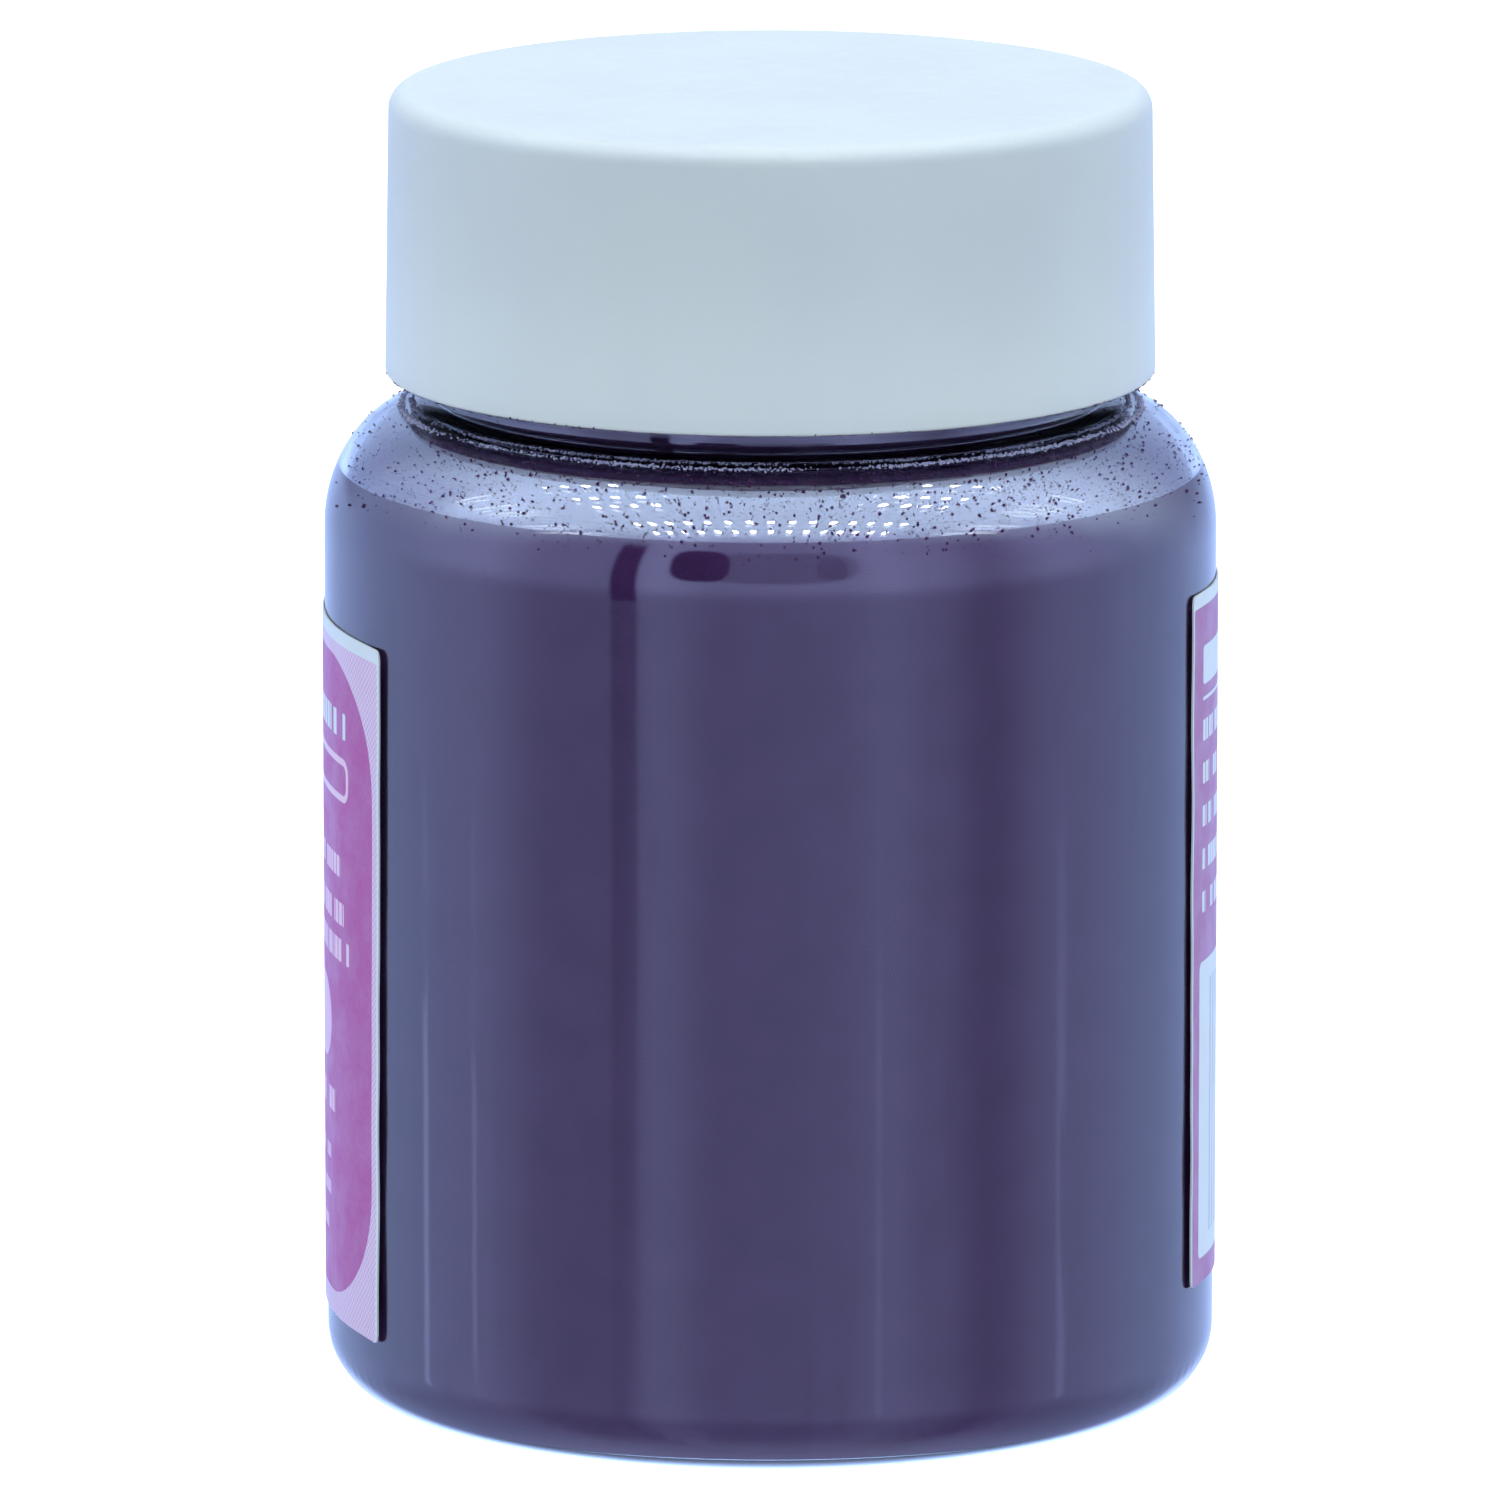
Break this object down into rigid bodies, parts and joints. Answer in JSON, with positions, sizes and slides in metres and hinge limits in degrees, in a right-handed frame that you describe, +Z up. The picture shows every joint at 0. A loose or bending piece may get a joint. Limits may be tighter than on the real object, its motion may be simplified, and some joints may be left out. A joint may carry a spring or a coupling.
{
  "type": "paint jar",
  "caption": "Clear round plastic jar of dry violet pigment with a smooth white screw cap on a threaded neck, a foam liner and a wrap label.",
  "frame": {"origin": "centre of the standing ring under the base", "axes": "+Z up along the jar's axis, from the base to the cap; -Y is the bare side of the jar, which the label leaves open, and +X is to its right"},
  "size_m": [0.0502, 0.0501, 0.0739],
  "materials": {
    "clear_plastic": "gloss",
    "white_plastic": "satin",
    "white_foam": "matte",
    "printed_label": "satin",
    "violet_powder": "matte"
  },
  "bodies": {
    "jar": {"jar_body": "clear_plastic", "label": "printed_label", "pigment_powder": "violet_powder"},
    "liner": {"cap_liner": "white_foam"},
    "cap": {"cap": "white_plastic"}
  },
  "joints": [
    {"name": "cap_lift", "type": "slide", "parent": "jar", "child": "liner", "axis": [0, 0, 1], "range_m": [0, 0.01694]},
    {"name": "cap_turn", "type": "hinge", "parent": "liner", "child": "cap", "pos_m": [0, 0, 0.0725], "axis": [0, 0, 1], "range_deg": [0, 1440]}
  ],
  "couplings": [
    {"joint": "cap_lift", "follows": "cap_turn", "m_per_rad": 0.00067376}
  ]
}
